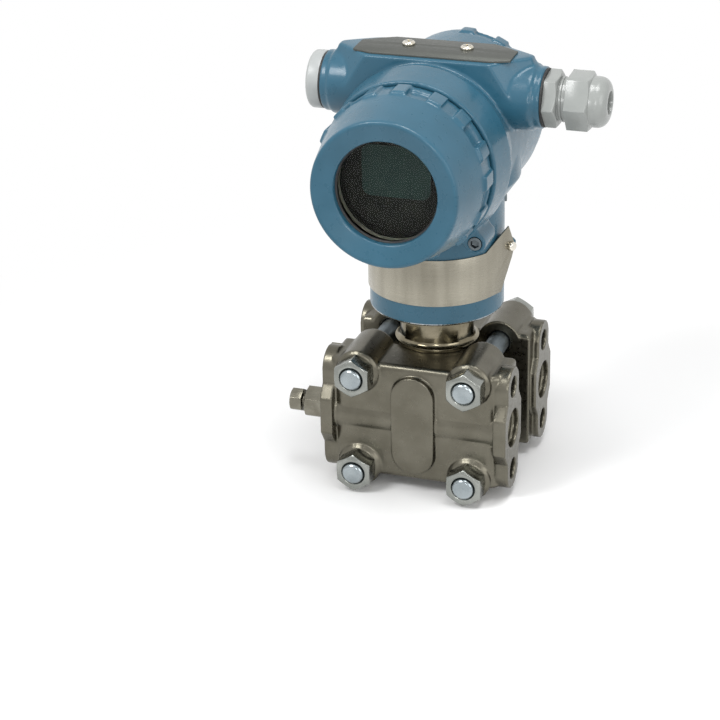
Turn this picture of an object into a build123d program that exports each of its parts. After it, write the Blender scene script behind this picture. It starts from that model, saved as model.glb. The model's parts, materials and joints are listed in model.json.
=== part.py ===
from build123d import *
import os
from math import atan2, cos, degrees, radians, sin, sqrt

# Differential pressure transmitter: two cast process flanges clamp a round sensor
# module, whose neck carries a two compartment housing with screwed covers.
# Frame in millimetres: the origin is the centre of the four tapped holes on the
# port faces, +X points out of the ports, +Z is up, -Y is the display side.

# Process connection
port_spacing = 54.0
hole_spacing = 41.3
port_hole_radius = 4.95
port_hole_depth = 11.0
bracket_hole_radius = 4.25
port_recess_radius = 9.0
port_recess_depth = 3.2
port_thread_radius = 5.7
port_thread_length = 15.0
passage_radius = 2.6

# Process flange casting
flange_length = 88.8
flange_height = 57.0
flange_thickness = 25.7
flange_front_round = 8.0
flange_back_round = 2.5
flange_edge_round = 2.5
pad_proud = 3.0
pad_depth = 6.0
pad_half_width = 13.9
lobe_radius = 9.4
pad_straight = 8.5
pad_taper_end = 15.0
rib_radius = 11.4
boss_radius = 10.2
boss_proud = 2.0
boss_step = 1.0
arch_width = 20.3
arch_height = 48.6
arch_proud = 2.8
cavity_radius = 18.0
cavity_depth = 2.0
vent_hole_radius = 6.6
vent_hole_depth = 13.0

# Bolts and nuts
bolt_radius = 5.0
bolt_clearance = 0.5
bolt_span_x = 52.9
bolt_span_z = 47.9
bolt_head_flats = 16.0
bolt_head_height = 6.6
bolt_end_proud = 1.4
bolt_end_chamfer = 0.9
nut_flats = 16.0
nut_height = 8.2
thread_fit = 0.04
hex_turned_share = 0.97
hex_turned_slope = 0.55
hex_flat_up = 30.0

# Vents
vent_body_flats = 13.8
vent_body_length = 10.6
vent_flange_radius = 7.8
vent_flange_thickness = 1.6
vent_shank_length = 11.0
vent_screw_radius = 3.2
vent_screw_flats = 10.0
vent_screw_head = 5.8
vent_screw_neck_radius = 2.7
vent_screw_neck = 1.8
vent_screw_depth = 8.0
vent_screw_gap = 0.35
vent_screw_end_gap = 1.0
running_fit = 0.05

# Sensor module
module_radius = 27.0
module_thickness = 23.0
gasket_gap = 0.25
gasket_outer = 24.0
gasket_width = 2.6
gasket_depth = 1.8
diaphragm_radius = 19.0
diaphragm_thickness = 0.4
diaphragm_recess = 1.0
stem_width = 28.0
neck_radius = 17.2
neck_foot_radius = 19.6
neck_foot_z = 29.2
neck_foot_edge = 1.0
neck_top_z = 46.5
spigot_radius = 13.4
hole_overrun = 1.0
spigot_top_z = 61.0
cell_radius = 7.5
cell_bottom_z = -7.0
cell_height = 24.0
cell_chamfer = 1.0
neck_seal_width = 1.6
neck_seal_depth = 1.2
neck_seal_proud = 0.25

# Housing
housing_gap = 0.3
collar_radius = 31.0
collar_chamfer = 0.8
floor_thickness = 13.0
neck_cavity_radius = 22.0
neck_cavity_height = 17.0
flare_start_z = 99.8
flare_end_z = 110.0
body_half_width = 31.0
barrel_z = 125.2
ring_face_radius = 39.0
ring_back_radius = 41.0
ring_face_y = 40.2
ring_back_y = 21.0
ring_step_radius = 39.8
ring_taper_end_y = 12.0
waist_radius = 38.3
ring_round = 0.8
chamber_radius = 33.6
cover_thread_radius = 35.0
cover_thread_depth = 12.5
wall_front_y = -14.0
wall_thickness = 4.0
wire_hole_radius = 3.6
wire_hole_y = -17.8

# Conduit bar across the top of the housing
conduit_rise = 23.8
boss_end = 50.4
conduit_boss_radius = 13.7
conduit_barrel_radius = 14.8
conduit_bore_radius = 9.6
bar_end = 46.5
bar_half_width = 14.8
bar_top_rise = 18.3
bar_crown_radius = 110.0
bar_flat_half = 28.0
bar_end_bevel = 2.3
bar_corner_normal = (0.556, 0.748, 0.362)
bar_top_end_normal = (0.93, 0.37)
bar_low_end_normal = (0.31, 0.95)

# Covers
cover_gap = 0.3
cover_plain_radius = 37.3
cover_lug_radius = 38.6
cover_slot_radius = 36.0
cover_wall = 3.2
lug_angle = 10.0
slot_angle = 15.0
front_slot_start = 33.5
front_slot_count = 8
rear_slot_start = 75.0
rear_slot_count = 2
front_band_length = 12.0
front_nose_y = 76.0
front_nose_radius = 32.8
front_nose_round = 1.2
rear_band_length = 8.0
rear_face_y = 51.6
rear_face_radius = 34.5
lug_base_depth = 1.0
front_lug_length = 11.0
front_slot_length = 7.8
rear_lug_length = 7.0
rear_slot_length = 5.0
slot_overrun = 2.0
spigot_wall = 3.5
spigot_length = 11.0
cover_pitch = 2.0
cover_turns = 6
seal_section = 2.2
seal_clearance = 0.12
seal_share = 0.62
seal_flat = 0.35
window_opening_radius = 23.0
window_radius = 25.6
window_thickness = 5.0
bezel_lip = 3.4
bezel_dish = 2.8
retainer_thickness = 3.0
retainer_opening_radius = 23.4

# Electronics
board_clearance = 2.6
board_thickness = 1.6
board_y = -17.2
post_radius = 2.4
post_inset = 1.5
post_count = 3
post_start_angle = 90.0
display_clearance = 4.0
display_front_y = -61.2
display_back_y = -45.0
display_bevel = 3.0
display_rim = 1.5
screen_width = 30.0
screen_height = 22.4
screen_thickness = 1.4
screen_lift = 4.0
screen_rise = 4.2
screen_corner = 4.0
terminal_width = 44.0
terminal_height = 26.0
terminal_depth = 12.0
terminal_pitch = 13.0
terminal_screw_radius = 3.4
terminal_screw_height = 2.2
terminal_count = 3
terminal_corner = 3.0
terminal_groove = 2.5
terminal_groove_share = 0.6
terminal_screw_slot = 0.9
ground_screw_drop = 22.0

# Nameplate and adjustment buttons under it
plate_half_length = 35.8
plate_front_end_y = -10.4
plate_back_end_y = 2.6
plate_half_width = 12.8
plate_front_half = 27.5
plate_back_half = 23.0
plate_blank_margin = 1.0
plate_shift = 1.0
plate_thickness = 0.8
plate_screw_spacing = 26.8
plate_screw_radius = 2.9
plate_screw_head = 1.7
plate_screw_shank = 1.4
plate_screw_depth = 6.0
plate_screw_chamfer = 0.7
button_radius = 3.0
button_offset = 5.0
button_depth = 6.0
button_travel = 1.5
button_gap = 1.8

# Band round the neck and its tab
band_bottom_z = 57.0
band_top_z = 79.1
band_thickness = 0.6
band_gap = 0.1
band_leave_angle = -28.0
band_end_angle = 24.0
tab_length = 17.8
tab_root_run = 0.3
tab_lower_points = ((9.5, 0.5), (16.5, 15.6))
tab_upper_points = ((16.2, 4.2), (14.3, 9.0))
tab_edge_half = 1.6
tab_screw_along = 16.0
tab_screw_z = 78.0
tab_screw_radius = 2.2
tab_screw_head = 1.8
tab_screw_chamfer = 0.6
tab_boss_radius = 4.2

# Cable gland and plug
seal_disc_thickness = 0.8
seal_disc_radius = 13.0
plug_flange_radius = 13.1
plug_flange_thickness = 6.2
plug_edge_round = 1.6
plug_shank_radius = 9.5
plug_shank_length = 9.0
gland_body_flats = 22.4
gland_body_hex = 6.0
gland_thread_radius = 10.4
gland_thread_length = 3.6
gland_collar_radius = 9.2
gland_collar_length = 10.0
gland_nut_flats = 23.2
gland_nut_hex = 10.4
gland_nut_gap = 0.3
gland_dome_radius = 11.2
gland_dome_length = 7.4
gland_dome_round = 5.0
gland_bore_relief = 1.5
gland_body_turn = 10.0
gland_nut_turn = 4.0
cable_radius = 5.2
grommet_wall = 2.2
grommet_short = 1.0

# Lock screws
lock_angle = -48.3
lock_circle = 43.8
lock_boss_radius = 4.7
lock_boss_web = 7.0
lock_recess = 2.0
lock_screw_radius = 3.0
lock_screw_length = 9.0
lock_socket_flats = 3.6
lock_socket_depth = 2.2
set_screw_angle = 20.7
set_screw_z = 97.2
set_screw_radius = 2.4
set_screw_length = 7.0
set_screw_proud = 0.9

# Places worked out from the sizes above
port_y = port_spacing / 2
neck_x = -flange_length / 2
flange_inner_y = module_thickness / 2 + gasket_gap
flange_face_y = flange_inner_y + flange_thickness
boss_face_y = flange_face_y + boss_proud
bolt_points = [(sx * bolt_span_x / 2, sz * bolt_span_z / 2) for sx in (-1, 1) for sz in (-1, 1)]
bolt_points = [(neck_x + x, z) for x, z in bolt_points]
collar_z = neck_top_z + housing_gap
floor_z = collar_z + floor_thickness
wall_back_y = wall_front_y + wall_thickness
cover_face_y = ring_face_y + cover_gap
conduit_z = barrel_z + conduit_rise
plate_x = neck_x + plate_shift
bar_top_z = conduit_z + bar_top_rise
barrel_axis = Axis((neck_x, 0, barrel_z), (0, 1, 0))
board_radius = chamber_radius - board_clearance
display_radius = cover_thread_radius - spigot_wall - display_clearance
post_circle = display_radius - post_inset
boss_end_x = neck_x + boss_end
plug_end_x = neck_x - boss_end


def hex_outline(flats, bore=0.0, turn=hex_flat_up):
    """Hexagon across its flats, with a round bore when one is asked for."""
    with BuildSketch(Plane.XY) as outline:
        RegularPolygon(flats / 2, 6, major_radius=False, rotation=turn)
        if bore > 0:
            Circle(bore, mode=Mode.SUBTRACT)
    return outline.sketch


def turned_hexagon(start, flats, height, bore=0.0, turn=hex_flat_up):
    """Hexagon standing on a plane, with the corners of its far end turned down."""
    corner = flats / sqrt(3)
    turned = flats / 2 * hex_turned_share
    drop = (corner - turned) * hex_turned_slope
    with BuildPart() as blank:
        with BuildSketch(Plane.XZ):
            with BuildLine():
                Polyline(
                    (0, 0), (corner, 0), (corner, height - drop), (turned, height), (0, height), close=True
                )
            make_face()
        revolve(axis=Axis.Z)
    with BuildPart() as prism:
        with BuildSketch(Plane.XY):
            add(hex_outline(flats, bore, turn))
        extrude(amount=height)
        add(blank.part, mode=Mode.INTERSECT)
    return prism.part.moved(start.location)


def ring_sector(inner, outer, middle_angle, sweep):
    """Part of a flat ring, used for the lugs and slots of a cover."""
    start = middle_angle - sweep / 2
    with BuildSketch(Plane.XY) as sector:
        with BuildLine():
            CenterArc((0, 0), inner, start, sweep)
            CenterArc((0, 0), outer, start, sweep)
            for angle in (start, start + sweep):
                Line(
                    (inner * cos(radians(angle)), inner * sin(radians(angle))),
                    (outer * cos(radians(angle)), outer * sin(radians(angle))),
                )
        make_face()
    return sector.sketch


def plate_outline():
    """Nameplate in plan, with its back corners cut further than its front ones."""
    right_side = [
        (plate_front_half, -plate_half_width),
        (plate_half_length, plate_front_end_y),
        (plate_half_length, plate_back_end_y),
        (plate_back_half, plate_half_width),
    ]
    left_side = [(-x, y) for x, y in reversed(right_side)]
    with BuildSketch(Plane.XY) as outline:
        with BuildLine():
            Polyline(*right_side, *left_side, close=True)
        make_face()
    return outline.sketch


# Process flange at the display side, with the tombstone pad and ribs of the casting
with BuildPart() as front_process_flange:
    with BuildSketch(Plane.XY.offset(-flange_height / 2)):
        with BuildLine():
            x0 = -flange_length + pad_proud
            x1 = -pad_proud
            Polyline(
                (x0, -flange_inner_y),
                (x0, -flange_face_y),
                (x1, -flange_face_y),
                (x1, -flange_inner_y),
                close=True,
            )
        casting_plan = make_face()
        plan_corners = casting_plan.vertices().group_by(Axis.Y)
        fillet(plan_corners[0], flange_front_round)
        fillet(plan_corners[-1], flange_back_round)
    extrude(amount=flange_height)
    caps = front_process_flange.faces().filter_by(Axis.Z)
    fillet(caps.edges(), flange_edge_round)
    # Half round ribs over the port and vent passages
    with BuildSketch(Plane.YZ.offset(-flange_length + pad_proud)):
        with Locations((-port_y, 0)):
            Circle(rib_radius)
    extrude(amount=flange_length - 2 * pad_proud)
    # Bolt columns, each with a stepped face
    with BuildSketch(Plane.XZ.offset(flange_inner_y)):
        with Locations(*bolt_points):
            Circle(boss_radius)
    extrude(amount=flange_thickness + boss_proud - boss_step)
    with BuildSketch(Plane.XZ.offset(boss_face_y - boss_step)):
        with Locations(*bolt_points):
            Circle(boss_radius - boss_step)
    extrude(amount=boss_step)
    # Tombstone pad in the middle of the face
    with BuildSketch(Plane.XZ.offset(flange_face_y - flange_edge_round)):
        with Locations((neck_x, 0)):
            SlotOverall(arch_height, arch_width, rotation=90)
    extrude(amount=arch_proud + flange_edge_round)
    # Machined end pads: a lobe round each tapped hole and a wider middle round the port
    for face_x, direction in ((0.0, -1), (-flange_length, 1)):
        with BuildSketch(Plane.YZ.offset(face_x)):
            with Locations((-port_y, 0)):
                SlotOverall(hole_spacing + 2 * lobe_radius, 2 * lobe_radius, rotation=90)
            with BuildLine():
                Polyline(
                    (-port_y - pad_half_width, -pad_straight),
                    (-port_y - pad_half_width, pad_straight),
                    (-port_y - lobe_radius, pad_taper_end),
                    (-port_y + lobe_radius, pad_taper_end),
                    (-port_y + pad_half_width, pad_straight),
                    (-port_y + pad_half_width, -pad_straight),
                    (-port_y + lobe_radius, -pad_taper_end),
                    (-port_y - lobe_radius, -pad_taper_end),
                    close=True,
                )
            make_face()
        extrude(amount=direction * pad_depth)
    # Bolt holes, process cavity and the passages that feed it
    with BuildSketch(Plane.XZ.offset(flange_inner_y)):
        with Locations(*bolt_points):
            Circle(bolt_radius + bolt_clearance)
    extrude(amount=flange_thickness + boss_proud, mode=Mode.SUBTRACT)
    with BuildSketch(Plane.XZ.offset(flange_inner_y)):
        with Locations((neck_x, 0)):
            Circle(cavity_radius)
    extrude(amount=cavity_depth, mode=Mode.SUBTRACT)
    with BuildSketch(Plane.XZ.offset(flange_inner_y)):
        with Locations((neck_x, 0)):
            Circle(passage_radius)
    extrude(amount=port_y - flange_inner_y + passage_radius, mode=Mode.SUBTRACT)
    with BuildSketch(Plane.YZ.offset(-flange_length)):
        with Locations((-port_y, 0)):
            Circle(passage_radius)
    extrude(amount=flange_length, mode=Mode.SUBTRACT)
    # Port with its gasket recess, vent hole and tapped holes at both ends
    with BuildSketch(Plane.YZ):
        with Locations((-port_y, 0)):
            Circle(port_recess_radius)
    extrude(amount=-port_recess_depth, mode=Mode.SUBTRACT)
    with BuildSketch(Plane.YZ):
        with Locations((-port_y, 0)):
            Circle(port_thread_radius)
    extrude(amount=-port_recess_depth - port_thread_length, mode=Mode.SUBTRACT)
    with BuildSketch(Plane.YZ.offset(-flange_length)):
        with Locations((-port_y, 0)):
            Circle(vent_hole_radius)
    extrude(amount=vent_hole_depth, mode=Mode.SUBTRACT)
    tapped_ends = ((0.0, -1, port_hole_radius), (-flange_length, 1, bracket_hole_radius))
    for face_x, direction, radius in tapped_ends:
        with BuildSketch(Plane.YZ.offset(face_x)):
            with Locations((-port_y, hole_spacing / 2), (-port_y, -hole_spacing / 2)):
                Circle(radius)
        extrude(amount=direction * port_hole_depth, mode=Mode.SUBTRACT)

# The rear flange is the same casting turned over about the port axis
rear_flange_part = front_process_flange.part.rotate(Axis.X, 180)

# Sensor module: a disc between the flanges with a neck that carries the housing
with BuildPart() as sensor_module:
    with BuildSketch(Plane.XZ.offset(-module_thickness / 2)):
        with Locations((neck_x, 0)):
            Circle(module_radius)
    extrude(amount=module_thickness)
    with BuildSketch(Plane.XY):
        with Locations((neck_x, 0)):
            Rectangle(stem_width, module_thickness)
    extrude(amount=neck_foot_z)
    with BuildSketch(Plane.XZ):
        with BuildLine():
            foot_fillet = neck_foot_radius - neck_radius
            foot_top_z = neck_foot_z + neck_foot_edge
            Polyline(
                (neck_x + neck_foot_radius, foot_top_z),
                (neck_x + neck_foot_radius, neck_foot_z),
                (neck_x, neck_foot_z),
                (neck_x, spigot_top_z),
                (neck_x + spigot_radius, spigot_top_z),
                (neck_x + spigot_radius, neck_top_z),
                (neck_x + neck_radius, neck_top_z),
                (neck_x + neck_radius, foot_top_z + foot_fillet),
            )
            CenterArc((neck_x + neck_foot_radius, foot_top_z + foot_fillet), foot_fillet, 180, 90)
        make_face()
    revolve(axis=Axis((neck_x, 0, 0), (0, 0, 1)))
    # Pocket for the sensing cell, open at the top of the neck
    with BuildSketch(Plane.XY.offset(cell_bottom_z)):
        with Locations((neck_x, 0)):
            Circle(cell_radius + running_fit)
    extrude(amount=spigot_top_z - cell_bottom_z, mode=Mode.SUBTRACT)
    # Diaphragm recess and gasket groove on each face
    for side in (-1, 1):
        face = Plane(origin=(neck_x, side * module_thickness / 2, 0), x_dir=(1, 0, 0), z_dir=(0, -side, 0))
        with BuildSketch(face):
            Circle(diaphragm_radius)
        extrude(amount=diaphragm_recess, mode=Mode.SUBTRACT)
        with BuildSketch(face):
            Circle(gasket_outer)
            Circle(gasket_outer - gasket_width, mode=Mode.SUBTRACT)
        extrude(amount=gasket_depth, mode=Mode.SUBTRACT)
    # Groove for the neck seal in the shoulder
    with BuildSketch(Plane.XY.offset(neck_top_z)):
        with Locations((neck_x, 0)):
            Circle(spigot_radius + 2 * neck_seal_width)
            Circle(spigot_radius + neck_seal_width, mode=Mode.SUBTRACT)
    extrude(amount=-neck_seal_depth, mode=Mode.SUBTRACT)

with BuildPart() as neck_seal:
    with BuildSketch(Plane.XY.offset(neck_top_z - neck_seal_depth)):
        with Locations((neck_x, 0)):
            Circle(spigot_radius + 2 * neck_seal_width)
            Circle(spigot_radius + neck_seal_width, mode=Mode.SUBTRACT)
    extrude(amount=neck_seal_depth + neck_seal_proud)

with BuildPart() as sensing_cell:
    with BuildSketch(Plane.XY.offset(cell_bottom_z)):
        with Locations((neck_x, 0)):
            Circle(cell_radius)
    extrude(amount=cell_height)
    chamfer(sensing_cell.faces().sort_by(Axis.Z)[-1].edges(), cell_chamfer)


def isolating_diaphragm(side):
    """Thin metal disc on the floor of the recess in one face of the module."""
    floor_y = side * (module_thickness / 2 - diaphragm_recess)
    face = Plane(origin=(neck_x, floor_y, 0), x_dir=(1, 0, 0), z_dir=(0, side, 0))
    with BuildPart() as diaphragm:
        with BuildSketch(face):
            Circle(diaphragm_radius)
        extrude(amount=diaphragm_thickness)
    return diaphragm.part


def process_gasket(side):
    """Flat ring from the groove of the module to the face of a flange."""
    floor_y = side * (module_thickness / 2 - gasket_depth)
    face = Plane(origin=(neck_x, floor_y, 0), x_dir=(1, 0, 0), z_dir=(0, side, 0))
    with BuildPart() as gasket:
        with BuildSketch(face):
            Circle(gasket_outer)
            Circle(gasket_outer - gasket_width, mode=Mode.SUBTRACT)
        extrude(amount=gasket_depth + gasket_gap)
    return gasket.part


# Four bolts from the rear flange, heads at the back, with a domed end at the front
with BuildPart() as flange_bolts:
    for x, z in bolt_points:
        head_plane = Plane(origin=(x, boss_face_y, z), x_dir=(1, 0, 0), z_dir=(0, 1, 0))
        with BuildSketch(head_plane):
            Circle(bolt_radius)
        extrude(amount=-2 * boss_face_y - nut_height - bolt_end_proud)
        add(turned_hexagon(head_plane, bolt_head_flats, bolt_head_height))
    tips = flange_bolts.edges().filter_by(GeomType.CIRCLE).group_by(Axis.Y)[0]
    chamfer(tips, bolt_end_chamfer)

with BuildPart() as flange_nuts:
    for x, z in bolt_points:
        nut_plane = Plane(origin=(x, -boss_face_y, z), x_dir=(1, 0, 0), z_dir=(0, -1, 0))
        add(turned_hexagon(nut_plane, nut_flats, nut_height, bolt_radius + thread_fit))


def vent_valve_body(side):
    """Hexagon valve body screwed into the vent end of one flange."""
    start = Plane(origin=(-flange_length, side * port_y, 0), x_dir=(0, 1, 0), z_dir=(-1, 0, 0))
    with BuildPart() as valve:
        with BuildSketch(start):
            Circle(vent_hole_radius - thread_fit)
        extrude(amount=-vent_shank_length)
        with BuildSketch(start):
            Circle(vent_flange_radius)
        extrude(amount=vent_flange_thickness)
        hex_start = start.offset(vent_flange_thickness)
        add(turned_hexagon(hex_start, vent_body_flats, vent_body_length - vent_flange_thickness))
        with BuildSketch(start.offset(vent_body_length)):
            Circle(vent_screw_radius + running_fit)
        extrude(amount=-vent_screw_depth, mode=Mode.SUBTRACT)
        with BuildSketch(start.offset(-vent_shank_length)):
            Circle(vent_screw_radius / 2)
        extrude(amount=vent_shank_length + vent_body_length, mode=Mode.SUBTRACT)
    return valve.part


def vent_screw(side):
    """Small bleed screw that turns in the valve body."""
    mouth = -flange_length - vent_body_length
    start = Plane(origin=(mouth, side * port_y, 0), x_dir=(0, 1, 0), z_dir=(-1, 0, 0))
    with BuildPart() as screw:
        with BuildSketch(start.offset(-vent_screw_depth + vent_screw_end_gap)):
            Circle(vent_screw_radius)
        extrude(amount=vent_screw_depth - vent_screw_end_gap + vent_screw_gap)
        with BuildSketch(start.offset(vent_screw_gap)):
            Circle(vent_screw_neck_radius)
        extrude(amount=vent_screw_neck)
        head_start = start.offset(vent_screw_gap + vent_screw_neck)
        add(turned_hexagon(head_start, vent_screw_flats, vent_screw_head))
    return screw.part


# Housing casting: neck, flared body, barrel and the conduit bar
lock_points = [
    (-1, lock_circle * cos(radians(lock_angle)), lock_circle * sin(radians(lock_angle))),
    (1, -lock_circle * cos(radians(lock_angle)), lock_circle * sin(radians(lock_angle))),
]
tab_dir = (-sin(radians(band_leave_angle)), cos(radians(band_leave_angle)))
tab_normal = (cos(radians(band_leave_angle)), sin(radians(band_leave_angle)))
band_inner = collar_radius + band_gap
tab_point = (
    neck_x + band_inner * tab_normal[0] + tab_screw_along * tab_dir[0],
    band_inner * tab_normal[1] + tab_screw_along * tab_dir[1],
)
tab_boss_height = sqrt(collar_radius**2 - tab_screw_along**2)
tab_boss_length = band_inner - tab_boss_height + tab_boss_radius
set_dir = (cos(radians(set_screw_angle)), sin(radians(set_screw_angle)))

with BuildPart() as housing:
    # Conduit bar: a crowned block whose corners are cut by slanted planes
    crown_drop = bar_crown_radius - sqrt(bar_crown_radius**2 - bar_half_width**2)
    side_top = bar_top_z - crown_drop
    with BuildSketch(Plane.YZ.offset(neck_x - bar_end)):
        with BuildLine():
            Line((-bar_half_width, side_top), (-bar_half_width, conduit_z))
            ThreePointArc(
                (-bar_half_width, conduit_z), (0, conduit_z - bar_half_width), (bar_half_width, conduit_z)
            )
            Line((bar_half_width, conduit_z), (bar_half_width, side_top))
            ThreePointArc((bar_half_width, side_top), (0, bar_top_z), (-bar_half_width, side_top))
        make_face()
    extrude(amount=2 * bar_end)
    for sx in (-1, 1):
        for sy in (-1, 1):
            top_corner = (neck_x + sx * bar_flat_half, sy * bar_half_width, side_top)
            low_corner = (neck_x + sx * bar_flat_half, sy * bar_half_width, 2 * conduit_z - side_top)
            along, across, up = bar_corner_normal
            split(bisect_by=Plane(origin=top_corner, z_dir=(sx * along, sy * across, up)), keep=Keep.BOTTOM)
            split(bisect_by=Plane(origin=low_corner, z_dir=(sx * along, sy * across, -up)), keep=Keep.BOTTOM)
        end_top = (neck_x + sx * (bar_end - bar_end_bevel), 0, bar_top_z)
        along, up = bar_top_end_normal
        split(bisect_by=Plane(origin=end_top, z_dir=(sx * along, 0, up)), keep=Keep.BOTTOM)
        end_low = (neck_x + sx * bar_end, 0, conduit_z - conduit_barrel_radius)
        along, up = bar_low_end_normal
        split(bisect_by=Plane(origin=end_low, z_dir=(sx * along, 0, -up)), keep=Keep.BOTTOM)
    with BuildSketch(Plane.YZ.offset(neck_x - bar_end)):
        with Locations((0, conduit_z)):
            Circle(conduit_barrel_radius)
    extrude(amount=2 * bar_end)
    with BuildSketch(Plane.YZ.offset(neck_x - boss_end)):
        with Locations((0, conduit_z)):
            Circle(conduit_boss_radius)
    extrude(amount=2 * boss_end)
    # Neck, flare and upper body, kept between the two rings
    with BuildSketch(Plane.XZ):
        with BuildLine():
            Polyline(
                (neck_x, collar_z),
                (neck_x + collar_radius - collar_chamfer, collar_z),
                (neck_x + collar_radius, collar_z + collar_chamfer),
                (neck_x + collar_radius, flare_start_z),
                (neck_x + waist_radius, flare_end_z),
                (neck_x + waist_radius, barrel_z),
                (neck_x, barrel_z),
                close=True,
            )
        make_face()
    revolve(axis=Axis((neck_x, 0, 0), (0, 0, 1)), mode=Mode.ADD)
    with BuildSketch(Plane.XY):
        with Locations((neck_x, 0)):
            Rectangle(4 * boss_end, 2 * collar_radius)
    extrude(amount=2 * bar_top_z, mode=Mode.INTERSECT)
    # Barrel with a flared ring at the display end and a smooth rear end
    with BuildSketch(Plane(origin=(neck_x, 0, barrel_z), x_dir=(0, 1, 0), z_dir=(1, 0, 0))):
        with BuildLine():
            Polyline(
                (-ring_face_y, 0),
                (-ring_face_y, ring_face_radius),
                (-ring_back_y - ring_round, ring_back_radius),
                (-ring_back_y, ring_back_radius - ring_round),
                (-ring_back_y + ring_round, ring_step_radius),
                (-ring_taper_end_y, waist_radius),
                (ring_face_y - ring_round, waist_radius),
                (ring_face_y, waist_radius - ring_round),
                (ring_face_y, 0),
                close=True,
            )
        make_face()
    revolve(axis=barrel_axis)
    # Bosses of the cover lock screws, low on the side of each ring
    web_x = lock_boss_web / 2 * cos(radians(lock_angle))
    web_z = lock_boss_web / 2 * sin(radians(lock_angle))
    for side, x, z in lock_points:
        boss_plane = Plane(
            origin=(neck_x + x + side * web_x, side * ring_back_y, barrel_z + z - web_z),
            x_dir=(1, 0, 0),
            z_dir=(0, side, 0),
        )
        with BuildSketch(boss_plane):
            SlotCenterToCenter(lock_boss_web, 2 * lock_boss_radius, rotation=lock_angle)
        extrude(amount=ring_face_y - ring_back_y - lock_recess)
    # Boss that takes the screw of the band's tab
    tab_plane = Plane(
        origin=(tab_point[0], tab_point[1], tab_screw_z),
        x_dir=(tab_dir[0], tab_dir[1], 0),
        z_dir=(-tab_normal[0], -tab_normal[1], 0),
    )
    with BuildSketch(tab_plane):
        Circle(tab_boss_radius)
    extrude(amount=tab_boss_length)
    # Two compartments with a wall between them
    front_plane = Plane(origin=(neck_x, -ring_face_y, barrel_z), x_dir=(1, 0, 0), z_dir=(0, 1, 0))
    rear_plane = Plane(origin=(neck_x, ring_face_y, barrel_z), x_dir=(1, 0, 0), z_dir=(0, -1, 0))
    with BuildSketch(front_plane):
        Circle(chamber_radius)
    extrude(amount=ring_face_y + wall_front_y, mode=Mode.SUBTRACT)
    with BuildSketch(rear_plane):
        Circle(chamber_radius)
    extrude(amount=ring_face_y - wall_back_y, mode=Mode.SUBTRACT)
    for mouth in (front_plane, rear_plane):
        with BuildSketch(mouth):
            Circle(cover_thread_radius + running_fit)
        extrude(amount=cover_thread_depth, mode=Mode.SUBTRACT)
    # Seal chamfer at each mouth
    for side in (-1, 1):
        with BuildSketch(Plane(origin=(neck_x, 0, barrel_z), x_dir=(0, 1, 0), z_dir=(1, 0, 0))):
            with BuildLine():
                mouth_y = side * ring_face_y
                Polyline(
                    (mouth_y, cover_thread_radius),
                    (mouth_y, cover_thread_radius + seal_section),
                    (mouth_y - side * seal_section, cover_thread_radius),
                    close=True,
                )
            make_face()
        revolve(axis=barrel_axis, mode=Mode.SUBTRACT)
    # Conduit entries into the terminal side
    with BuildSketch(Plane.YZ.offset(neck_x - boss_end)):
        with Locations((0, conduit_z)):
            Circle(conduit_bore_radius)
    extrude(amount=2 * boss_end, mode=Mode.SUBTRACT)
    # Neck bore, the space above it and the way for the sensor's wires
    with BuildSketch(Plane.XY.offset(collar_z)):
        with Locations((neck_x, 0)):
            Circle(spigot_radius + running_fit)
    extrude(amount=floor_thickness + hole_overrun, mode=Mode.SUBTRACT)
    with BuildSketch(Plane.XY.offset(floor_z)):
        with Locations((neck_x, 0)):
            Circle(neck_cavity_radius)
    extrude(amount=neck_cavity_height, mode=Mode.SUBTRACT)
    with BuildSketch(Plane.XY.offset(floor_z)):
        with Locations((neck_x, wire_hole_y)):
            Circle(wire_hole_radius)
    extrude(amount=barrel_z - floor_z - chamber_radius / 2, mode=Mode.SUBTRACT)
    # Holes for the nameplate screws and the adjustment buttons
    with BuildSketch(Plane.XY.offset(bar_top_z)):
        with Locations((plate_x - plate_screw_spacing / 2, 0), (plate_x + plate_screw_spacing / 2, 0)):
            Circle(plate_screw_shank + thread_fit)
    extrude(amount=-plate_screw_depth, mode=Mode.SUBTRACT)
    with BuildSketch(Plane.XY.offset(bar_top_z)):
        with Locations((plate_x - button_offset, 0), (plate_x + button_offset, 0)):
            Circle(button_radius + running_fit)
    extrude(amount=-button_depth - button_travel, mode=Mode.SUBTRACT)
    # Holes of the lock screws, the tab screw and the neck screw
    for side, x, z in lock_points:
        hole_plane = Plane(
            origin=(neck_x + x, side * (ring_face_y - lock_recess), barrel_z + z),
            x_dir=(1, 0, 0),
            z_dir=(0, -side, 0),
        )
        with BuildSketch(hole_plane):
            Circle(lock_screw_radius + thread_fit)
        extrude(amount=lock_screw_length, mode=Mode.SUBTRACT)
    with BuildSketch(tab_plane):
        Circle(tab_screw_radius / 2 + thread_fit)
    extrude(amount=tab_boss_radius, mode=Mode.SUBTRACT)
    set_plane = Plane(
        origin=(neck_x + collar_radius * set_dir[0], collar_radius * set_dir[1], set_screw_z),
        x_dir=(0, 0, 1),
        z_dir=(-set_dir[0], -set_dir[1], 0),
    )
    with BuildSketch(set_plane.offset(-hole_overrun)):
        Circle(set_screw_radius + thread_fit)
    extrude(amount=set_screw_length + hole_overrun, mode=Mode.SUBTRACT)


def cover_profile(side, points):
    """Revolved cover blank from points given as distance from the barrel's middle and radius."""
    with BuildPart() as blank:
        with BuildSketch(Plane(origin=(neck_x, 0, barrel_z), x_dir=(0, side, 0), z_dir=(side, 0, 0))):
            with BuildLine():
                Polyline(*points, close=True)
            make_face()
        revolve(axis=barrel_axis)
    return blank.part


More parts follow.
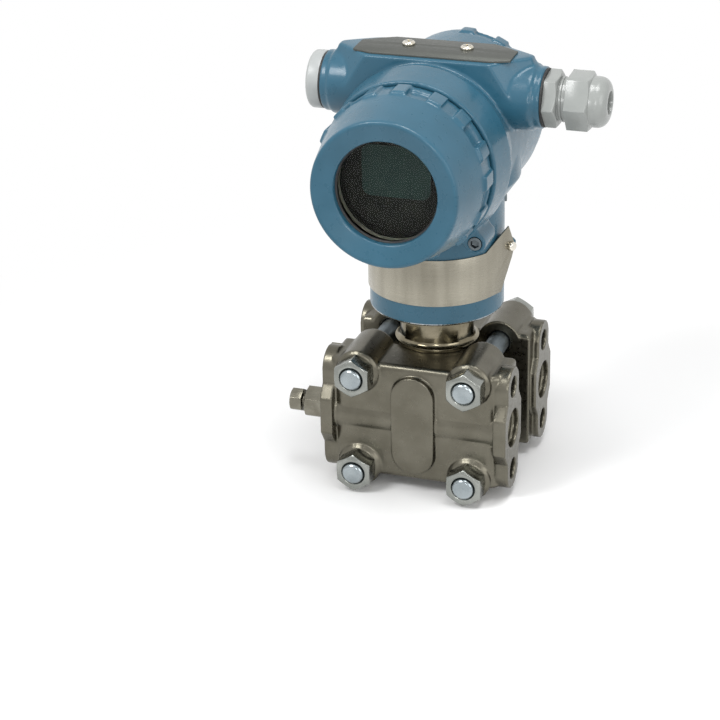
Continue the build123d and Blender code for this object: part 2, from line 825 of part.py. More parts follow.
def cover_sectors(side, band_end_y, radii, offsets, sweep, length):
    """Ring sectors that repeat round the band of a cover, for its lugs or its wrench slots."""
    start, count = (front_slot_start, front_slot_count) if side < 0 else (rear_slot_start, rear_slot_count)
    rim = Plane(origin=(neck_x, side * band_end_y, barrel_z), x_dir=(1, 0, 0), z_dir=(0, -side, 0))
    with BuildPart() as sectors:
        with BuildSketch(rim):
            for index in range(count):
                middle = side * start + index * 360 / count
                for offset in offsets:
                    add(ring_sector(radii[0], radii[1], middle + offset, sweep))
        extrude(amount=length)
    return sectors.part


lug_radii = (cover_plain_radius - lug_base_depth, cover_lug_radius)
slot_radii = (cover_slot_radius, cover_lug_radius + slot_overrun)
lug_offset = (slot_angle + lug_angle) / 2
lug_offsets = (-lug_offset, lug_offset)


# Front cover with the window opening
band_front_y = cover_face_y + front_band_length
lip_y = front_nose_y - bezel_dish - bezel_lip
glass_back_y = lip_y - window_thickness
retainer_back_y = glass_back_y - retainer_thickness
spigot_end_y = ring_face_y - spigot_length
spigot_inner = cover_thread_radius - spigot_wall
seat_radius = cover_thread_radius + seal_section
front_points = [
    (spigot_end_y, spigot_inner),
    (spigot_end_y, cover_thread_radius),
    (ring_face_y - seal_section, cover_thread_radius),
    (cover_face_y, cover_thread_radius),
    (cover_face_y, cover_plain_radius),
    (band_front_y, cover_plain_radius),
    (front_nose_y - front_nose_round, front_nose_radius),
    (front_nose_y - front_nose_round / 3, front_nose_radius - front_nose_round / 3),
    (front_nose_y, front_nose_radius - front_nose_round),
    (front_nose_y - bezel_dish, window_opening_radius),
    (lip_y, window_opening_radius),
    (lip_y, window_radius + running_fit),
    (retainer_back_y, window_radius + running_fit),
    (retainer_back_y, front_nose_radius - cover_wall),
    (band_front_y, spigot_inner),
]
with BuildPart() as front_cover:
    add(cover_profile(-1, front_points))
    add(cover_sectors(-1, band_front_y, lug_radii, lug_offsets, lug_angle, front_lug_length))
    add(cover_sectors(-1, band_front_y, slot_radii, (0,), slot_angle, front_slot_length), mode=Mode.SUBTRACT)

rear_inner_y = rear_face_y - cover_wall
band_rear_y = cover_face_y + rear_band_length
rear_points = [
    (spigot_end_y, spigot_inner),
    (spigot_end_y, cover_thread_radius),
    (ring_face_y - seal_section, cover_thread_radius),
    (cover_face_y, cover_thread_radius),
    (cover_face_y, cover_plain_radius),
    (band_rear_y, cover_plain_radius),
    (rear_face_y - front_nose_round, rear_face_radius),
    (rear_face_y, rear_face_radius - front_nose_round),
    (rear_face_y, 0),
    (rear_inner_y, 0),
    (rear_inner_y, rear_face_radius - cover_wall),
    (band_rear_y - cover_wall, spigot_inner),
]
with BuildPart() as rear_cover:
    add(cover_profile(1, rear_points))
    add(cover_sectors(1, band_rear_y, lug_radii, lug_offsets, lug_angle, rear_lug_length))
    add(cover_sectors(1, band_rear_y, slot_radii, (0,), slot_angle, rear_slot_length), mode=Mode.SUBTRACT)


def cover_seal(side):
    """Ring in the chamfer between a cover and its mouth, cut to a six sided section."""
    inner = cover_thread_radius + seal_clearance
    outer = inner + seal_section * seal_share
    near = cover_face_y - seal_clearance
    far = near - seal_section * seal_share
    middle = (near + far) / 2
    points = [
        (far, inner),
        (far, inner + seal_flat),
        (middle, outer),
        (near, outer),
        (near, inner),
    ]
    return cover_profile(side, points)


with BuildPart() as cover_window:
    window_plane = Plane(origin=(neck_x, -lip_y, barrel_z), x_dir=(1, 0, 0), z_dir=(0, 1, 0))
    with BuildSketch(window_plane):
        Circle(window_radius)
    extrude(amount=window_thickness)

with BuildPart() as window_retainer:
    retainer_plane = Plane(origin=(neck_x, -glass_back_y, barrel_z), x_dir=(1, 0, 0), z_dir=(0, 1, 0))
    with BuildSketch(retainer_plane):
        Circle(window_radius)
        Circle(retainer_opening_radius, mode=Mode.SUBTRACT)
    extrude(amount=retainer_thickness)

# Electronics in the front compartment
with BuildPart() as electronics_board:
    board_plane = Plane(origin=(neck_x, board_y, barrel_z), x_dir=(1, 0, 0), z_dir=(0, -1, 0))
    with BuildSketch(board_plane):
        Circle(board_radius)
        with PolarLocations(post_circle, post_count, post_start_angle):
            Circle(post_radius / 2, mode=Mode.SUBTRACT)
    extrude(amount=board_thickness)

board_front_y = board_y - board_thickness
with BuildPart() as board_posts:
    wall_plane = Plane(origin=(neck_x, wall_front_y, barrel_z), x_dir=(1, 0, 0), z_dir=(0, -1, 0))
    with BuildSketch(wall_plane):
        with PolarLocations(post_circle, post_count, post_start_angle):
            Circle(post_radius)
    extrude(amount=wall_front_y - board_y)
    front_board_plane = Plane(origin=(neck_x, board_front_y, barrel_z), x_dir=(1, 0, 0), z_dir=(0, -1, 0))
    with BuildSketch(front_board_plane):
        with PolarLocations(post_circle, post_count, post_start_angle):
            Circle(post_radius)
    extrude(amount=board_front_y - display_back_y)
    with BuildSketch(wall_plane):
        with PolarLocations(post_circle, post_count, post_start_angle):
            Circle(post_radius / 2 - thread_fit)
    extrude(amount=wall_front_y - display_back_y)

screen_y = display_front_y + screen_lift
screen_plane = Plane(origin=(neck_x, screen_y, barrel_z + screen_rise), x_dir=(1, 0, 0), z_dir=(0, 1, 0))
with BuildPart() as display_case:
    case_plane = Plane(origin=(neck_x, display_back_y, barrel_z), x_dir=(1, 0, 0), z_dir=(0, -1, 0))
    with BuildSketch(case_plane):
        Circle(display_radius)
    extrude(amount=display_back_y - display_front_y)
    front_face = display_case.faces().sort_by(Axis.Y)[0]
    chamfer(front_face.edges(), display_bevel, display_bevel)
    with BuildSketch(Plane(origin=(neck_x, display_front_y, barrel_z), x_dir=(1, 0, 0), z_dir=(0, 1, 0))):
        Circle(display_radius - display_bevel - display_rim)
    extrude(amount=screen_lift, mode=Mode.SUBTRACT)
    with BuildSketch(screen_plane):
        RectangleRounded(screen_width, screen_height, screen_corner)
    extrude(amount=screen_thickness, mode=Mode.SUBTRACT)

with BuildPart() as display_screen:
    with BuildSketch(screen_plane):
        RectangleRounded(screen_width, screen_height, screen_corner)
    extrude(amount=screen_thickness)

# Terminals in the rear compartment
terminal_shifts = [index - (terminal_count - 1) / 2 for index in range(terminal_count)]
terminal_x = [neck_x + shift * terminal_pitch for shift in terminal_shifts]
terminal_face_y = wall_back_y + terminal_depth
with BuildPart() as terminal_block:
    with BuildSketch(Plane(origin=(neck_x, wall_back_y, barrel_z), x_dir=(1, 0, 0), z_dir=(0, 1, 0))):
        RectangleRounded(terminal_width, terminal_height, terminal_corner)
    extrude(amount=terminal_depth)
    for x in terminal_x:
        with BuildSketch(Plane(origin=(x, terminal_face_y, barrel_z), x_dir=(1, 0, 0), z_dir=(0, -1, 0))):
            Rectangle(terminal_pitch - terminal_groove, terminal_height * terminal_groove_share)
        extrude(amount=terminal_groove, mode=Mode.SUBTRACT)

with BuildPart() as terminal_screws:
    groove_y = terminal_face_y - terminal_groove
    for x in terminal_x:
        groove_plane = Plane(origin=(x, groove_y, barrel_z), x_dir=(1, 0, 0), z_dir=(0, 1, 0))
        with BuildSketch(groove_plane):
            Circle(terminal_screw_radius)
        extrude(amount=terminal_screw_height)
        with BuildSketch(groove_plane.offset(terminal_screw_height)):
            Rectangle(2 * terminal_screw_radius, terminal_screw_slot)
        extrude(amount=-terminal_screw_slot, mode=Mode.SUBTRACT)

with BuildPart() as ground_screw:
    ground_plane = Plane(
        origin=(neck_x, wall_back_y, barrel_z - ground_screw_drop), x_dir=(1, 0, 0), z_dir=(0, 1, 0)
    )
    with BuildSketch(ground_plane):
        Circle(terminal_screw_radius)
    extrude(amount=terminal_screw_height)
    with BuildSketch(ground_plane.offset(terminal_screw_height)):
        Rectangle(2 * terminal_screw_radius, terminal_screw_slot)
    extrude(amount=-terminal_screw_slot, mode=Mode.SUBTRACT)

# Crowned nameplate, left bare, with its two screws
with BuildPart() as nameplate:
    with BuildSketch(Plane.YZ.offset(plate_x - plate_half_length)):
        with BuildLine():
            crown_z = bar_top_z - bar_crown_radius
            plate_crown_radius = bar_crown_radius + plate_thickness
            half = degrees(atan2(plate_half_width + plate_blank_margin, bar_crown_radius))
            for radius in (bar_crown_radius, plate_crown_radius):
                CenterArc((0, crown_z), radius, 90 - half, 2 * half)
            for sign in (-1, 1):
                edge_angle = radians(90 + sign * half)
                inner_end = (bar_crown_radius * cos(edge_angle), bar_crown_radius * sin(edge_angle))
                outer_end = (plate_crown_radius * cos(edge_angle), plate_crown_radius * sin(edge_angle))
                Line((inner_end[0], crown_z + inner_end[1]), (outer_end[0], crown_z + outer_end[1]))
        make_face()
    extrude(amount=2 * plate_half_length)
    with BuildSketch(Plane(origin=(plate_x, 0, bar_top_z - bar_half_width), z_dir=(0, 0, 1))):
        add(plate_outline())
    extrude(amount=2 * bar_half_width, mode=Mode.INTERSECT)
    with BuildSketch(Plane.XY.offset(bar_top_z - hole_overrun)):
        with Locations((plate_x - plate_screw_spacing / 2, 0), (plate_x + plate_screw_spacing / 2, 0)):
            Circle(plate_screw_shank + thread_fit)
    extrude(amount=plate_thickness + 2 * hole_overrun, mode=Mode.SUBTRACT)

plate_top_z = bar_top_z + plate_thickness
with BuildPart() as nameplate_screws:
    for x in (plate_x - plate_screw_spacing / 2, plate_x + plate_screw_spacing / 2):
        with BuildSketch(Plane(origin=(x, 0, plate_top_z), z_dir=(0, 0, 1))):
            Circle(plate_screw_radius)
        extrude(amount=plate_screw_head)
        with BuildSketch(Plane(origin=(x, 0, plate_top_z), z_dir=(0, 0, 1))):
            Circle(plate_screw_shank)
        extrude(amount=-plate_screw_depth)
    head_rims = nameplate_screws.edges().filter_by(GeomType.CIRCLE).group_by(Axis.Z)[-1]
    chamfer(head_rims, plate_screw_chamfer)


def adjust_button(side):
    """Push button in its well under the nameplate."""
    with BuildPart() as button:
        top = bar_top_z - button_gap
        with BuildSketch(Plane(origin=(plate_x + side * button_offset, 0, top), z_dir=(0, 0, 1))):
            Circle(button_radius)
        extrude(amount=-(button_depth - button_gap))
    return button.part


# Thin steel band round the neck with a sprung tab at its end
with BuildPart() as tag_band:
    outer = band_inner + band_thickness
    sweep = band_end_angle - band_leave_angle - 360
    with BuildSketch(Plane(origin=(neck_x, 0, band_bottom_z), z_dir=(0, 0, 1))):
        with BuildLine():
            CenterArc((0, 0), band_inner, band_leave_angle, sweep)
            CenterArc((0, 0), outer, band_leave_angle, sweep)
            for angle in (band_leave_angle, band_end_angle):
                Line(
                    (band_inner * cos(radians(angle)), band_inner * sin(radians(angle))),
                    (outer * cos(radians(angle)), outer * sin(radians(angle))),
                )
        make_face()
    extrude(amount=band_top_z - band_bottom_z)
    tab_root = (neck_x + band_inner * tab_normal[0], band_inner * tab_normal[1])
    tab_face = Plane(
        origin=(tab_root[0], tab_root[1], band_bottom_z),
        x_dir=(tab_dir[0], tab_dir[1], 0),
        z_dir=(tab_normal[0], tab_normal[1], 0),
    )
    band_height = band_top_z - band_bottom_z
    with BuildSketch(tab_face):
        with BuildLine():
            screw_rise = tab_screw_z - band_bottom_z
            Polyline(
                (-tab_root_run, 0),
                *tab_lower_points,
                (tab_length, screw_rise - tab_edge_half),
                (tab_length, screw_rise + tab_edge_half),
                *[(x, band_height + y) for x, y in tab_upper_points],
                (-tab_root_run, band_height),
                close=True,
            )
        make_face()
    extrude(amount=band_thickness)
    with BuildSketch(tab_face):
        with Locations((tab_screw_along, screw_rise)):
            Circle(tab_screw_radius / 2 + thread_fit)
    extrude(amount=band_thickness, mode=Mode.SUBTRACT)

with BuildPart() as tag_band_screw:
    screw_face = Plane(
        origin=(
            tab_point[0] + band_thickness * tab_normal[0],
            tab_point[1] + band_thickness * tab_normal[1],
            tab_screw_z,
        ),
        x_dir=(tab_dir[0], tab_dir[1], 0),
        z_dir=(tab_normal[0], tab_normal[1], 0),
    )
    with BuildSketch(screw_face):
        Circle(tab_screw_radius)
    extrude(amount=tab_screw_head)
    screw_top = tag_band_screw.faces().sort_by(Axis(screw_face.origin, screw_face.z_dir))[-1]
    chamfer(screw_top.edges(), tab_screw_chamfer)
    with BuildSketch(screw_face):
        Circle(tab_screw_radius / 2)
    extrude(amount=-tab_boss_radius)

# Plug in the left conduit entry and gland in the right one
plug_out = Plane(origin=(plug_end_x, 0, conduit_z), x_dir=(0, 1, 0), z_dir=(-1, 0, 0))
gland_out = Plane(origin=(boss_end_x, 0, conduit_z), x_dir=(0, 1, 0), z_dir=(1, 0, 0))

with BuildPart() as plug_seal:
    with BuildSketch(plug_out):
        Circle(seal_disc_radius)
        Circle(plug_shank_radius + thread_fit, mode=Mode.SUBTRACT)
    extrude(amount=seal_disc_thickness)

with BuildPart() as conduit_plug:
    with BuildSketch(plug_out.offset(seal_disc_thickness)):
        Circle(plug_flange_radius)
    extrude(amount=plug_flange_thickness)
    fillet(conduit_plug.faces().sort_by(Axis.X)[0].edges(), plug_edge_round)
    with BuildSketch(plug_out.offset(seal_disc_thickness)):
        Circle(plug_shank_radius)
    extrude(amount=-plug_shank_length - seal_disc_thickness)

with BuildPart() as gland_seal:
    with BuildSketch(gland_out):
        Circle(seal_disc_radius)
        Circle(plug_shank_radius + thread_fit, mode=Mode.SUBTRACT)
    extrude(amount=seal_disc_thickness)

gland_hex_start = gland_out.offset(seal_disc_thickness)
gland_thread_start = gland_hex_start.offset(gland_body_hex)
with BuildPart() as gland_body:
    add(turned_hexagon(gland_hex_start, gland_body_flats, gland_body_hex, turn=gland_body_turn))
    with BuildSketch(gland_hex_start):
        Circle(plug_shank_radius)
    extrude(amount=-plug_shank_length - seal_disc_thickness)
    with BuildSketch(gland_thread_start):
        Circle(gland_thread_radius)
    extrude(amount=gland_thread_length)
    with BuildSketch(gland_thread_start):
        Circle(gland_collar_radius)
    extrude(amount=gland_thread_length + gland_collar_length)
    with BuildSketch(gland_out.offset(-plug_shank_length)):
        Circle(cable_radius + grommet_wall)
    proud_length = seal_disc_thickness + gland_body_hex + gland_thread_length + gland_collar_length
    extrude(amount=plug_shank_length + proud_length, mode=Mode.SUBTRACT)

grommet_length = gland_thread_length + gland_collar_length - grommet_short
with BuildPart() as gland_grommet:
    with BuildSketch(gland_thread_start):
        Circle(cable_radius + grommet_wall - thread_fit)
        Circle(cable_radius, mode=Mode.SUBTRACT)
    extrude(amount=grommet_length)

nut_start = gland_thread_start.offset(gland_thread_length + gland_nut_gap)
nut_length = gland_nut_hex + gland_dome_length
with BuildPart() as gland_nut:
    add(turned_hexagon(nut_start, gland_nut_flats, gland_nut_hex, turn=gland_nut_turn))
    with BuildSketch(nut_start.offset(gland_nut_hex)):
        Circle(gland_dome_radius)
    extrude(amount=gland_dome_length)
    dome_edge = gland_nut.faces().sort_by(Axis.X)[-1].edges()
    fillet(dome_edge, gland_dome_round)
    with BuildSketch(nut_start):
        Circle(gland_collar_radius + running_fit)
    extrude(amount=gland_collar_length + gland_bore_relief, mode=Mode.SUBTRACT)
    with BuildSketch(nut_start):
        Circle(cable_radius)
    extrude(amount=nut_length, mode=Mode.SUBTRACT)

# Hex socket screws that lock the covers, and the screw that locks the neck
with BuildPart() as cover_lock_screws:
    for side, x, z in lock_points:
        screw_plane = Plane(
            origin=(neck_x + x, side * (ring_face_y - lock_recess - lock_screw_length), barrel_z + z),
            x_dir=(1, 0, 0),
            z_dir=(0, side, 0),
        )
        with BuildSketch(screw_plane):
            Circle(lock_screw_radius)
        extrude(amount=lock_screw_length)
        with BuildSketch(screw_plane.offset(lock_screw_length)):
            add(hex_outline(lock_socket_flats))
        extrude(amount=-lock_socket_depth, mode=Mode.SUBTRACT)

with BuildPart() as neck_lock_screw:
    with BuildSketch(set_plane.offset(-set_screw_proud)):
        Circle(set_screw_radius)
    extrude(amount=set_screw_length + set_screw_proud)
    with BuildSketch(set_plane.offset(-set_screw_proud)):
        add(hex_outline(set_screw_radius))
    extrude(amount=lock_socket_depth, mode=Mode.SUBTRACT)

pieces = {
    "front_process_flange": front_process_flange.part,
    "rear_process_flange": rear_flange_part,
    "sensor_module": sensor_module.part,
    "neck_seal": neck_seal.part,
    "sensing_cell": sensing_cell.part,
    "front_isolating_diaphragm": isolating_diaphragm(-1),
    "rear_isolating_diaphragm": isolating_diaphragm(1),
    "front_process_gasket": process_gasket(-1),
    "rear_process_gasket": process_gasket(1),
    "flange_bolts": flange_bolts.part,
    "flange_nuts": flange_nuts.part,
    "front_vent_valve_body": vent_valve_body(-1),
    "rear_vent_valve_body": vent_valve_body(1),
    "front_vent_screw": vent_screw(-1),
    "rear_vent_screw": vent_screw(1),
    "housing": housing.part,
    "front_cover": front_cover.part,
    "front_cover_seal": cover_seal(-1),
    "cover_window": cover_window.part,
    "window_retainer": window_retainer.part,
    "rear_cover": rear_cover.part,
    "rear_cover_seal": cover_seal(1),
    "electronics_board": electronics_board.part,
    "board_posts": board_posts.part,
    "display_case": display_case.part,
    "display_screen": display_screen.part,
    "terminal_block": terminal_block.part,
    "terminal_screws": terminal_screws.part,
    "ground_screw": ground_screw.part,
    "nameplate": nameplate.part,
    "nameplate_screws": nameplate_screws.part,
    "zero_button": adjust_button(-1),
    "span_button": adjust_button(1),
    "tag_band": tag_band.part,
    "tag_band_screw": tag_band_screw.part,
    "plug_seal": plug_seal.part,
    "conduit_plug": conduit_plug.part,
    "gland_seal": gland_seal.part,
    "gland_body": gland_body.part,
    "gland_grommet": gland_grommet.part,
    "gland_nut": gland_nut.part,
    "cover_lock_screws": cover_lock_screws.part,
    "neck_lock_screw": neck_lock_screw.part,
}

os.makedirs("parts", exist_ok=True)
for name, piece in pieces.items():
    piece.label = name
    export_step(piece, f"parts/{name}.step")
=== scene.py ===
import json
from math import cos, hypot, pi, radians, sin, sqrt

import bpy
from mathutils import Matrix, Vector

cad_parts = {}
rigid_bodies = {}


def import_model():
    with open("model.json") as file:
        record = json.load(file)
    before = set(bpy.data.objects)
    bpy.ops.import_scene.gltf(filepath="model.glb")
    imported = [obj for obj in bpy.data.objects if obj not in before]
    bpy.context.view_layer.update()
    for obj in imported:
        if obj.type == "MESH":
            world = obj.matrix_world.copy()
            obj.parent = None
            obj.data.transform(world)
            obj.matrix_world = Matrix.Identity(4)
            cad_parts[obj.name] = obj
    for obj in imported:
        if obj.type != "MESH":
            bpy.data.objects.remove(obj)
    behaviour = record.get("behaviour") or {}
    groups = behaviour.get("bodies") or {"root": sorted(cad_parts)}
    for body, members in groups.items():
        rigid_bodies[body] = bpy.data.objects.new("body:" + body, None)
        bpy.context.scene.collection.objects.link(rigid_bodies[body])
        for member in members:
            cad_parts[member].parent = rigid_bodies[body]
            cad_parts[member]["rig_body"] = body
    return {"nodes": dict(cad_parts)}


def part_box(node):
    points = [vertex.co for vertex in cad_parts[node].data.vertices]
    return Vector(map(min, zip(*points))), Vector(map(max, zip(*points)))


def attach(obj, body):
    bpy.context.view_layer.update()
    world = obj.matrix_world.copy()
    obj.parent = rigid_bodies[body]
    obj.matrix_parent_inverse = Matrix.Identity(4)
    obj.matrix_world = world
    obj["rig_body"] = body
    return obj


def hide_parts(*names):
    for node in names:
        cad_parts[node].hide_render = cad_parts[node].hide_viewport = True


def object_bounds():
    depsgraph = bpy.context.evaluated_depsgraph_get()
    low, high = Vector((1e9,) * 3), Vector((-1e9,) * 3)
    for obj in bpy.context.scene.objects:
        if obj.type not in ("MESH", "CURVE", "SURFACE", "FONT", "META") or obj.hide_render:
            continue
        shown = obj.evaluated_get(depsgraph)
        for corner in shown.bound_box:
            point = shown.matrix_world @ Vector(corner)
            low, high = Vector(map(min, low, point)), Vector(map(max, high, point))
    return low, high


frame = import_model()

cad_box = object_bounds()

# Places read from the frame, in metres
neck_low, neck_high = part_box("sensor_module")
window_low, window_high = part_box("cover_window")
gland_low, gland_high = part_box("gland_nut")
nut_low, nut_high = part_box("flange_nuts")
head_low, head_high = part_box("nameplate_screws")
neck_x = (neck_low.x + neck_high.x) / 2
barrel_z = (window_low.z + window_high.z) / 2
gland_z = (gland_low.z + gland_high.z) / 2
mouth_distance = -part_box("front_cover_seal")[0].y
housing_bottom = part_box("housing")[0].z
vent_end_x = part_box("front_process_flange")[0].x

# Ports: the face they open on, their distance from the middle and that of the tapped holes
port_end_x = 0.0
port_y = 0.027
hole_rise = 0.02065

# Camera, worked out from the port holes and the round covers in the picture
picture_size = 720
camera_azimuth = radians(19.56)
camera_elevation = radians(24.8)
camera_roll = radians(1.29)
camera_distance = 1.0
pixels_per_metre = 2143.5
port_centre_in_picture = (528.61, 402.81)
sensor_width = 36.0
clip_start = 0.01

# Lamps: name, place measured from the neck's axis, size and watts
lamps = [
    ("key_lamp", (-0.45, -0.6, 0.85), 0.35, 5.5),
    ("fill_lamp", (0.8, -0.35, 0.35), 0.5, 1.8),
    ("top_lamp", (0.15, -0.15, 1.0), 0.4, 5.0),
    ("front_lamp", (0.25, -1.0, 0.36), 0.22, 1.8),
]
lamp_target_z = 0.08
ambient_strength = 0.55

# Floor: its size, and the distances over which it turns plain white
floor_size = 6
floor_fade = (0.12, 0.38)

# Meshes: distance within which points merge, and angles in degrees
merge_distance = 0.000002
flat_angle = 1.5
eased_angle = 32
eased_segments = 2
thread_edge_angle = 35

# Threads: steps in a turn, how deep a ridge is bedded and its width as a share of the pitch
thread_steps = 30
thread_bed = 0.00015
ridge_share = 0.84

# Threads of a flange: radius of the wall, height of the ridge, pitch and number of turns
port_thread = (0.0057, 0.00035, 0.00141, 9)
port_hole_thread = (0.00495, 0.0003, 0.00127, 7)
vent_hole_thread = (0.00425, 0.0003, 0.0015, 6)

# Places along X where the threads of a flange start
port_thread_start = -0.0177
port_hole_thread_start = port_end_x - 0.0105
vent_hole_thread_start = vent_end_x + 0.0007

# Covers: their spigots, the threads on them and the depths at which those start
spigot_radius = 0.035
spigot_share = 0.98
spigot_wall = 0.001
spigot_depth = 0.00099
bare_radius = 0.0335
bare_depth = 0.00025
spigot_thread = (spigot_radius * spigot_share, 0.0006, 0.002, 4)
spigot_thread_steps = 72
front_thread_depth = 0.0008
rear_thread_depth = 0.0104

# Cover window and its bead
window_ior = 1.12
opening_radius = 0.023
bead_size = 0.0008
bead_steps = 96
bead_corners = 8

# Bare rim under the collar of the housing
collar_edge = 0.0011

# Foot of the sensor module's neck
foot_z = 0.0292
foot_edge_radius = 0.0188
foot_half_height = 0.0004
foot_drop = 0.0006

# Gland thread
gland_thread_radius = 0.0104
gland_root_radius = 0.0096
gland_radius_margin = 0.00045
gland_thread_length = 0.0042
gland_thread = (gland_root_radius, 0.0009, 0.0012, 2)
gland_thread_start = gland_low.x - 0.0039

# Nuts and the bolts in them
bore_radius = 0.005
bore_margin = 0.0002
nut_face_margin = 0.00005
countersink = 0.0008
bolt_half_x = 0.02645
bolt_half_z = 0.02395
bolt_end_depth = 0.001

# Cross recesses in the heads of the nameplate screws
head_radius = 0.0029
recess_reach = 0.0017
recess_width = 0.0006
recess_depth = 0.0011
recess_turn = 20


def pick(*pieces):
    """Selects only these pieces, the first one active."""
    bpy.ops.object.select_all(action="DESELECT")
    for piece in pieces:
        piece.select_set(True)
    bpy.context.view_layer.objects.active = pieces[0]


def edit(piece, operator, **settings):
    """Runs one edit mode operator on the whole mesh of a piece."""
    pick(piece)
    bpy.ops.object.mode_set(mode="EDIT")
    bpy.ops.mesh.select_all(action="SELECT")
    operator(**settings)
    bpy.ops.object.mode_set(mode="OBJECT")


def edit_where(piece, kind, wanted):
    """Opens a piece in edit mode, with only the elements of one kind that pass a test selected."""
    pick(piece)
    bpy.ops.object.mode_set(mode="EDIT")
    bpy.ops.mesh.select_all(action="DESELECT")
    bpy.ops.object.mode_set(mode="OBJECT")
    for element in getattr(piece.data, kind):
        element.select = wanted(element)
    bpy.ops.object.mode_set(mode="EDIT")


def apply_modifier(piece, kind, **settings):
    """Adds a modifier with these settings and applies it to the mesh."""
    pick(piece)
    modifier = piece.modifiers.new(kind.title(), kind)
    for key, value in settings.items():
        setattr(modifier, key, value)
    bpy.ops.object.modifier_apply(modifier=modifier.name)


def settle(piece, name, body):
    """Puts a finished piece's place in its mesh, names it and makes it ride on a body."""
    pick(piece)
    bpy.ops.object.transform_apply(location=True, rotation=True, scale=True)
    piece.name = name
    piece.data.name = name
    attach(piece, body)
    return piece


def dress(piece, material, slot):
    """Gives a piece one material; the slot it belongs to is not used."""
    piece.data.materials.clear()
    piece.data.materials.append(material)
    return piece


def merged_copy(node, name):
    """Copy of a node's mesh with its loose triangles joined, standing for the node."""
    source = frame["nodes"][node]
    copy = bpy.data.objects.new(name, source.data.copy())
    bpy.context.scene.collection.objects.link(copy)
    copy.data.name = name
    edit(copy, bpy.ops.mesh.remove_doubles, threshold=merge_distance)
    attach(copy, source["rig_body"])
    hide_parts(node)
    return copy


def soft_casting(node, name, voxel, passes, share, material, slot):
    """Casting with the rounded edges and filled corners of poured metal under its finish."""
    casting = merged_copy(node, name)
    apply_modifier(casting, "REMESH", mode="VOXEL", voxel_size=voxel, use_smooth_shade=True)
    apply_modifier(casting, "SMOOTH", factor=0.5, iterations=passes)
    apply_modifier(casting, "DECIMATE", ratio=share)
    pick(casting)
    bpy.ops.object.shade_smooth()
    return dress(casting, material, slot)


def clean_copy(node):
    """Merged copy of a machined or moulded part with its flat faces made whole."""
    part = merged_copy(node, node + "_finished")
    edit(part, bpy.ops.mesh.dissolve_limited, angle_limit=radians(flat_angle))
    return part


def ease_edges(part, width, material, slot):
    """Takes the sharpness off the edges of a machined or moulded part."""
    apply_modifier(
        part,
        "BEVEL",
        width=width,
        segments=eased_segments,
        limit_method="ANGLE",
        angle_limit=radians(eased_angle),
        use_clamp_overlap=True,
        harden_normals=False,
    )
    pick(part)
    bpy.ops.object.shade_smooth_by_angle(angle=radians(eased_angle))
    return dress(part, material, slot)


def refinish(piece, material, wanted):
    """Gives another finish to the faces whose middles pass a test."""
    piece.data.materials.append(material)
    edit_where(piece, "polygons", lambda face: wanted(face.center))
    piece.active_material_index = len(piece.data.materials) - 1
    bpy.ops.object.material_slot_assign()
    bpy.ops.object.mode_set(mode="OBJECT")


def thread_coil(start, radius, height, pitch, turns, inward=True, steps=thread_steps):
    """Ridge of a screw thread wound round the X axis from a start point."""
    side = ridge_share * pitch
    sign = -1 if inward else 1
    bpy.ops.object.select_all(action="DESELECT")
    bpy.ops.mesh.primitive_circle_add(vertices=3, radius=side / sqrt(3))
    coil = bpy.context.object
    edit(coil, bpy.ops.transform.resize, value=(1, sign * height / (side * sqrt(3) / 2), 1))
    edit(coil, bpy.ops.transform.translate, value=(0, radius - sign * thread_bed, 0))
    apply_modifier(
        coil,
        "SCREW",
        axis="X",
        angle=2 * pi,
        screw_offset=pitch,
        iterations=turns,
        steps=steps,
        render_steps=steps,
        use_smooth_shade=False,
    )
    edit(coil, bpy.ops.mesh.remove_doubles, threshold=merge_distance)
    edit(coil, bpy.ops.mesh.fill_holes, sides=4)
    edit(coil, bpy.ops.mesh.normals_make_consistent, inside=False)
    coil.location = start
    pick(coil)
    bpy.ops.object.shade_smooth_by_angle(angle=radians(thread_edge_angle))
    return coil


def flange_threads(side, name):
    """Threads of the port and of the tapped holes at both ends of a flange."""
    coils = [thread_coil((port_thread_start, side * port_y, 0), *port_thread)]
    for sign in (-1, 1):
        high = sign * hole_rise
        port_hole = (port_hole_thread_start, side * port_y, high)
        vent_hole = (vent_hole_thread_start, side * port_y, high)
        coils.append(thread_coil(port_hole, *port_hole_thread))
        coils.append(thread_coil(vent_hole, *vent_hole_thread))
    pick(*coils)
    bpy.ops.object.transform_apply(location=True, rotation=True, scale=True)
    bpy.ops.object.join()
    dress(settle(coils[0], name, "base"), cast_stainless, "cast_stainless")


def countersink_nuts(nuts):
    """Opens the mouth of each nut's bore, so that a dark ring shows round the bolt's end."""
    places = [vertex.co.copy() for vertex in nuts.data.vertices]

    def at_mouth(place):
        reach = hypot(abs(place.x - neck_x) - bolt_half_x, abs(place.z) - bolt_half_z)
        return place.y < nut_low.y + nut_face_margin and reach < bore_radius + bore_margin

    def wanted(edge):
        return all(at_mouth(places[corner]) for corner in edge.vertices)

    bpy.context.tool_settings.mesh_select_mode = (False, True, False)
    edit_where(nuts, "edges", wanted)
    bpy.ops.mesh.bevel(offset=countersink, segments=1, affect="EDGES")
    bpy.ops.object.mode_set(mode="OBJECT")
    bpy.context.tool_settings.mesh_select_mode = (True, False, False)


def lower_foot(module):
    """Brings the under edge of the neck's foot down, so that it sits close on the flanges."""

    def at_edge(place):
        reach = hypot(place.x - neck_x, place.y)
        return reach > foot_edge_radius and abs(place.z - foot_z) < foot_half_height

    edit_where(module, "vertices", lambda vertex: at_edge(vertex.co))
    bpy.ops.transform.translate(value=(0, 0, -foot_drop))
    bpy.ops.object.mode_set(mode="OBJECT")


def cover_reach(place):
    """Distance of a place from the axis of the covers."""
    return hypot(place.x - neck_x, place.z - barrel_z)


def mouth_depth(place, side):
    """How far a place lies inside the housing's mouth, at the front, -1, or the back, 1."""
    return mouth_distance - side * place.y


